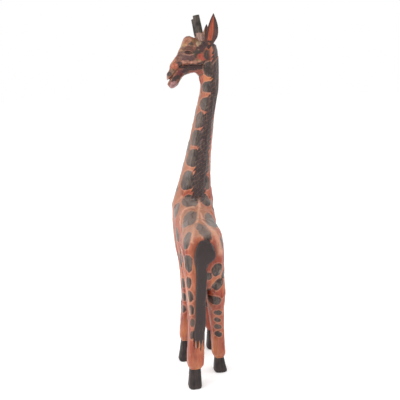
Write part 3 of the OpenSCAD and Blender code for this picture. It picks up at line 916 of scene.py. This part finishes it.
def body_wood(name, has_face):
    s = Shader(name)
    colour, streak, fine = wood_ground(s, (0.16, 0.16, 0.02))
    if has_face:
        tint = s.add("Attribute", attribute_name="tint").outputs["Color"]
        grained = s.mix(s.range(fine, 0.3, 0.75, 0, 0.45), tint, s.mix(0.55, tint, GRAIN_AND_SHADE_DARK))
        colour = s.mix(s.mark("face"), colour, grained)
    ragged = s.math("SUBTRACT", s.noise(s.place(), 0.3, 4, 0.6), 0.5)
    spot = s.math("ADD", s.mark("spot"), s.math("MULTIPLY", ragged, 1.8))
    rim = s.math("MULTIPLY", s.range(spot, -2.4, -0.8), s.range(spot, 0.2, -0.4))
    colour = s.mix(s.math("MULTIPLY", rim, 0.3), colour, PALE_EDGE)
    scratch = s.noise(s.place((0.5, 0.5, 0.05)), 1.0, 4, 0.65)
    cloudy = s.noise(s.place(), 0.06, 3, 0.5)
    mixed = s.math("ADD", s.math("MULTIPLY", scratch, 0.55), s.math("MULTIPLY", cloudy, 0.55))
    inside = s.range(spot, -1.2, 1.0)
    # Painted sheen: the ground and the spots turn paler and greyer where the back faces up and to the left.
    top = s.math("MULTIPLY", s.mark("top"), SHEEN_SHARE)
    spot_colour = s.mix(s.range(mixed, 0.44, 0.68), SPOT_DARK, SPOT_GREY)
    colour = s.mix(top, colour, SHEEN_GROUND)
    colour = s.mix(inside, colour, s.mix(top, spot_colour, SHEEN_SPOT))
    mane = s.math("ADD", s.mark("mane"), s.math("MULTIPLY", ragged, 3.0))
    mane_in = s.range(mane, -0.7, 0.9)
    hair = s.mix(s.range(scratch, 0.4, 0.7), MANE_DARK, MANE_LIGHT)
    hair = s.mix(s.range(s.mark("stroke"), 0.24, 0.06, 0, 0.35), hair, STROKE_LINE)
    colour = s.mix(mane_in, colour, hair)
    tail = s.math("ADD", s.mark("tail"), s.math("MULTIPLY", ragged, 4.0))
    tail_in = s.range(tail, -0.6, 0.8)
    colour = s.mix(tail_in, colour, MANE_DARK)
    dark = s.math("MAXIMUM", inside, s.math("MAXIMUM", mane_in, tail_in))
    # The pale lines along the raised edges: painted highlight where the edges catch the light, with some
    # rubbed wood.
    worn = s.math("MULTIPLY", s.mark("line"), s.range(fine, 0.25, 0.6, 0.3, 0.8))
    colour = s.mix(worn, colour, PALE_EDGE)
    # Painted shade: the hollows are darkened.
    crease = s.mark("crease")
    colour = s.mix(s.range(crease, 0.08, 0.6, 0, 0.5), colour, GRAIN_AND_SHADE_DARK)
    bright = s.math("MULTIPLY", s.range(crease, -0.15, -0.6, 0, 0.45), s.range(dark, 0, 1, 1, 0.25))
    colour = s.mix(bright, colour, PALE_EDGE)
    rough = s.range(s.math("ADD", fine, s.math("MULTIPLY", dark, -0.25)), 0.1, 0.9, 0.36, 0.54)
    height = s.math("ADD", s.math("MULTIPLY", streak, 0.5), s.math("MULTIPLY", scratch, 0.6))
    height = s.math("SUBTRACT", height, s.math("MULTIPLY", dark, 0.35))
    if has_face:
        rough = s.math("SUBTRACT", rough, s.math("MULTIPLY", s.mark("eye"), 0.2))
    return s.finish(
        colour, rough, height, strength=0.5, distance=0.35, coat=0.14, coat_rough=0.25, specular=0.32)


def dark_wood(name, dark, light, along=(0.5, 0.5, 0.05), raw=None, ragged=9.0):
    """Wood burnt or stained dark. Where the mark called raw is above zero it was left pale."""
    s = Shader(name)
    streak = s.noise(s.place(along), 1.0, 4, 0.6, 0.4)
    cloudy = s.noise(s.place(), 0.08, 3, 0.5)
    mixed = s.math("ADD", s.math("MULTIPLY", streak, 0.6), s.math("MULTIPLY", cloudy, 0.5))
    colour = s.mix(s.range(mixed, 0.4, 0.7), dark, light)
    if raw is not None:
        edge = s.math("ADD", s.mark("raw"), s.math("MULTIPLY", s.math("SUBTRACT", streak, 0.5), ragged))
        grain = s.range(streak, 0.3, 0.7)
        colour = s.mix(s.range(edge, -1.0, 1.0), colour, s.mix(grain, raw[0], raw[1]))
        colour = s.mix(s.mark("worn"), colour, s.mix(grain, BARE_WOOD, TAN))
    colour = s.mix(s.range(s.mark("crease"), -0.12, -0.5, 0, 0.4), colour, WORN_DARK)
    rough = s.range(streak, 0.3, 0.7, 0.46, 0.62)
    return s.finish(colour, rough, streak, strength=0.5, distance=0.3, coat=0.0, specular=0.28)


def plain_wood(name, light, dark):
    s = Shader(name)
    streak = s.noise(s.place((0.5, 0.5, 0.04)), 1.0, 4, 0.6, 0.4)
    colour = s.mix(s.range(streak, 0.35, 0.7), light, dark)
    rough = s.range(streak, 0.3, 0.7, 0.5, 0.65)
    return s.finish(colour, rough, streak, strength=0.3, distance=0.2, coat=0.0)


BODY = body_wood("painted_body", False)
HEAD = body_wood("painted_head", True)
BURNT = dark_wood("burnt_wood", srgb(30, 24, 24), srgb(60, 49, 47))
HORN_RAW = (srgb(172, 138, 126), srgb(120, 92, 82))
HORN = dark_wood("stained_horn", srgb(26, 21, 19), srgb(76, 66, 58), (0.8, 0.8, 0.04), HORN_RAW)
EAR_INSIDE = (srgb(172, 84, 56), srgb(122, 54, 40))
EAR = dark_wood("painted_ear", srgb(44, 32, 31), srgb(84, 56, 50), (0.7, 0.7, 0.06), EAR_INSIDE, ragged=3.0)
DOWEL = plain_wood("dowel_wood", srgb(206, 170, 124), srgb(176, 136, 92))


# ---------- the pieces ----------


def keep_part(bm, at):
    """Deletes what isn't joined to the part of the mesh nearest a given place."""
    start = min(bm.verts, key=lambda v: (v.co - Vector(at)).length_squared)
    seen, stack = {start}, [start]
    while stack:
        for e in stack.pop().link_edges:
            for v in e.verts:
                if v not in seen:
                    seen.add(v)
                    stack.append(v)
    bmesh.ops.delete(bm, geom=[v for v in bm.verts if v not in seen], context="VERTS")


def cut_piece(skin, planes, node, material, keep=None):
    """Makes a piece by cutting the skin along planes that are told as a place and the side to drop."""
    bm = to_bmesh(skin)
    for at, away in planes:
        cut(bm, Vector(at), Vector(away))
    if keep is not None:
        keep_part(bm, keep)
    piece_from(bm, node, material)


leg_plane = Vector((0, 0, leg_seat_z))
cut_piece(body, [(leg_plane, (0, 0, -1)), (neck_seat_at, neck_seat_up)], "torso", BODY)
neck_planes = [(neck_seat_at, -neck_seat_up), (head_seat_at, head_seat_up)]
cut_piece(body, neck_planes, "neck", BODY, keep=(head_seat_at + neck_seat_at) / 2)
cut_piece(head, [(head_seat_at, -head_seat_up)], "head", HEAD, keep=(head_low + head_high) / 2)
legs = to_bmesh(body)
cut(legs, leg_plane, Vector((0, 0, 1)))
for n in LEGS:
    bm = legs.copy()
    low, high = box_of(n)
    keep_part(bm, (low + high) / 2)
    piece_from(bm, n, BODY)
legs.free()


def small_piece(node, material, smooth_width=1.4, facet=6, depth=0.3, raw=None):
    """Makes a hoof or a horn from its own CAD node. The function raw tells where it was left pale."""
    skin = Skin([node_shape(node)], SMALL_VOXEL)
    skin.relax(smooth_width)
    skin.facets(facet, depth, 2.0, 4)
    skin.relax(0.7)
    skin.push(0.12 * cloud(skin.P, np.array([1.6, 1.6, 12]), 6))
    skin.P[:, 2] = np.maximum(skin.P[:, 2], 0)
    pale = np.full(len(skin.P), BARE) if raw is None else raw(skin.P)
    skin.marks = {"crease": skin.hollow(1.5), "raw": pale}
    piece_from(to_bmesh(skin), node, material)


for n in HOOVES:
    small_piece(n, BURNT)

HORN_STAIN = 0.33  # this share of a horn, from its foot up, was left unstained


def horn_raw(P):
    low, high = P[:, 2].min() + 10, P[:, 2].max()
    return low + (high - low) * HORN_STAIN - P[:, 2]


for n in HORNS:
    small_piece(n, HORN, 0.7, 5, 0.35, horn_raw)

# The tail's right edge turns in under its cap: by how much, where that starts from below and from
# above, and the line across the tail that stays put
TAIL_NIP = 7.5
NIP_FROM_BELOW, NIP_FROM_ABOVE = (188, 207), (222, 211)
NIP_STILL_X, NIP_REACH = 24, 18


def tail_piece():
    skin = Skin([node_shape("tail")], SMALL_VOXEL)
    skin.relax(2.0)
    flutes = np.cos(skin.P[:, 0] * 2 * math.pi / TAIL_STROKE + 1.2 * cloud(skin.P, 25, 14))
    skin.push(0.4 * flutes * ease(150, 95, skin.P[:, 2]), 4)
    skin.facets(9, 0.4, 2.4, 4)
    x, z = skin.P[:, 0], skin.P[:, 2]
    nip = TAIL_NIP * ease(*NIP_FROM_BELOW, z) * ease(*NIP_FROM_ABOVE, z)
    skin.P[:, 0] += nip * np.clip((NIP_STILL_X - x) / NIP_REACH, 0, 1)
    skin.relax(0.8)
    none, bare = np.zeros(len(skin.P)), np.full(len(skin.P), BARE)
    end = skin.P[:, 2] - TAIL_END_Z - 12 * np.cos(skin.P[:, 0] / TAIL_STROKE * 2 * math.pi)
    skin.marks = {"spot": bare, "mane": bare, "stroke": none + 1, "line": none, "tail": end,
                  "crease": skin.hollow(2.5), "top": none}
    piece_from(to_bmesh(skin), "tail", BODY)


tail_piece()

# An ear is a cupped leaf. Each row tells how far up it is, its reach to the front and to the
# back edge, and how deep it is cupped.
EAR_ROWS = curve_through([
    (0.0, 4.6, 4.0, 1.0), (0.1, 7.2, 7.0, 2.4), (0.19, 8.4, 9.6, 3.2), (0.34, 8.2, 13.0, 3.8),
    (0.5, 7.0, 13.0, 3.8), (0.66, 5.6, 10.8, 3.2), (0.8, 4.0, 7.4, 2.2), (0.9, 2.4, 3.8, 1.0),
    (1.0, 0.4, 0.4, 0.2)], 4)
EAR_ACROSS = 22  # points across a leaf
EAR_WALL = 1.5
EAR_ROOT_SINK = 9  # the leaf starts this far up the CAD ear, whose foot is in the skull
# The stained leaf inside an ear: the dark rim in front of it, which grows towards the root, its share
# of the back half, and its ends
EAR_RIM, EAR_RIM_GROWS = 2.6, 4.5
# Past this share of the back half the inside of the cup stays dark: painted shade under the curled back
# edge.
EAR_INNER_BACK = 0.36
EAR_INNER_FOOT, EAR_INNER_TOP = 0.2, 0.92
# The right ear was cut a little shorter, and the stain has worn off its front edge
RIGHT_EAR_SHARE = 0.92
RIGHT_EAR_PALE_FROM = 2.0


def ear_piece(node):
    """Builds the leaf about the CAD ear's own axis, with its cup towards the side."""
    P, _ = node_shape(node)
    side = 1 if node == "ear_left" else -1
    tip = P[P[:, 2].argmax()]
    foot = P[P[:, 2] < P[:, 2].min() + 5].mean(0)
    axis = (tip - foot) / np.linalg.norm(tip - foot)
    root = foot + axis * EAR_ROOT_SINK
    length = (tip - root) @ axis * (1 if side > 0 else RIGHT_EAR_SHARE)
    out = np.array([0.10, side, 0.0])
    out -= axis * (out @ axis)
    out /= np.linalg.norm(out)
    front = np.cross(out, axis) * side
    rows = []
    for f, reach_front, reach_back, cup in EAR_ROWS:
        across = np.linspace(-1, 1, EAR_ACROSS)
        x = np.where(across > 0, across * reach_front, across * reach_back)
        bend = cup * (across**2 - 0.55)
        wall = EAR_WALL * (1 - 0.45 * f) * np.sqrt(np.clip(1 - across**4, 0, 1)) + 0.25
        at = root + axis * f * length
        inner = at + np.outer(x, front) + np.outer(bend + wall * 0.5, out)
        back = bend - wall * 1.1 - 0.8 * (1 - across**2)
        outer = at + np.outer(x, front) + np.outer(back, out)
        rows.append(np.vstack([inner, outer[::-1]]))
    n = len(rows[0])
    points = np.vstack(rows)
    last = len(rows) - 1
    faces = [tuple(range(n))[::-1], tuple(last * n + i for i in range(n))]
    for r in range(last):
        for i in range(n):
            a, b = r * n + i, r * n + (i + 1) % n
            faces.append((a, b, b + n, a + n))
    leaf = (points, faces)
    skin = Skin([leaf, ball(root - axis * 1, (5, 3.6, 6))], SMALL_VOXEL * 0.8)
    skin.relax(0.9)
    skin.push(0.1 * cloud(skin.P, np.array([2, 2, 9]), 16))
    N = skin.normals(3)
    r = skin.P - root
    f, x = r @ axis / length, r @ front
    reach_front = np.interp(f, EAR_ROWS[:, 0], EAR_ROWS[:, 1])
    reach_back = np.interp(f, EAR_ROWS[:, 0], EAR_ROWS[:, 2])
    rim = EAR_RIM + EAR_RIM_GROWS * (1 - f) ** 2
    # the dark back part of the cup, beyond the inner stain, is painted shade
    edge = np.minimum(reach_front - rim - x, reach_back * EAR_INNER_BACK + x)
    ends = np.minimum((EAR_INNER_TOP - f) * 30, (f - EAR_INNER_FOOT) * 30)
    inner = np.where(N @ out > 0.2, np.minimum(edge, ends), -6.0)
    worn = ease(0, 1.5, x - RIGHT_EAR_PALE_FROM) * (side < 0)
    skin.marks = {"crease": skin.hollow(1.5), "raw": inner + 0.5 * cloud(skin.P, 5, 17), "worn": worn}
    piece_from(to_bmesh(skin), node, EAR)


for n in EARS:
    ear_piece(n)
for n in DOWELS:
    nodes[n].data.materials.clear()
    nodes[n].data.materials.append(DOWEL)


# ---------- floor, light and camera ----------

FLOOR_HALF = 40.0  # metres, so that no edge of the floor shows
FLOOR_GLOW = 0.22
ROOM_LIGHT = 1.0


def studio():
    """The pale floor and the even light of the room."""
    mesh = bpy.data.meshes.new("floor")
    h = FLOOR_HALF
    mesh.from_pydata([(-h, -h, 0), (h, -h, 0), (h, h, 0), (-h, h, 0)], [], [(0, 1, 2, 3)])
    floor = bpy.data.objects.new("floor", mesh)
    scene.collection.objects.link(floor)
    s = Shader("white_sweep")
    paint = s.add("BsdfPrincipled", {
        "Base Color": (0.9, 0.9, 0.9, 1), "Roughness": 0.9, "Specular IOR Level": 0.1,
        "Emission Color": (1, 1, 1, 1), "Emission Strength": FLOOR_GLOW})
    s.add("OutputMaterial", {"Surface": paint.outputs["BSDF"]})
    mesh.materials.append(s.material)

    world = bpy.data.worlds.new("white_room")
    world.use_nodes = True
    world.node_tree.nodes["Background"].inputs["Color"].default_value = (1, 1, 1, 1)
    world.node_tree.nodes["Background"].inputs["Strength"].default_value = ROOM_LIGHT
    scene.world = world


def softbox(name, at, aim, size, power):
    """A rectangular lamp: its place, its size in metres and its power in watts."""
    lamp = bpy.data.lights.new(name, "AREA")
    lamp.shape, lamp.size, lamp.size_y, lamp.energy = "RECTANGLE", size[0], size[1], power
    ob = bpy.data.objects.new(name, lamp)
    ob.location = at
    ob.rotation_mode = "QUATERNION"
    ob.rotation_quaternion = (Vector(at) - Vector(aim)).to_track_quat("Z", "Y")
    scene.collection.objects.link(ob)


studio()
middle = (cad_low + cad_high) / 2
softbox("key", (1.35, 0.5, 0.6), middle, (0.8, 1.0), 9)
softbox("fill", (-1.4, 0.3, 0.8), middle, (0.8, 1.3), 5)
softbox("top", (0.2, 0.5, 1.9), middle, (0.7, 0.7), 5)

# The camera stands behind the giraffe, a little to its left and above its withers
CAMERA_AT = Vector((170.0, 982.3, 480.6)) * UNIT
HEADING, PITCH, ROLL = math.radians(9.56), math.radians(-10.42), math.radians(1.5)
LENS, SENSOR = 53.5, 36.0

ahead = Vector((-math.sin(HEADING) * math.cos(PITCH), -math.cos(HEADING) * math.cos(PITCH), math.sin(PITCH)))
right = ahead.cross(Vector((0, 0, 1))).normalized()
up = right.cross(ahead)
up = up * math.cos(ROLL) + right * math.sin(ROLL)
right = ahead.cross(up)
lens = bpy.data.cameras.new("camera")
lens.lens, lens.sensor_width = LENS, SENSOR
camera = bpy.data.objects.new("camera", lens)
camera.matrix_world = Matrix((right, up, -ahead)).transposed().to_4x4()
camera.location = CAMERA_AT
scene.collection.objects.link(camera)
scene.camera = camera
scene.view_settings.view_transform = "Standard"
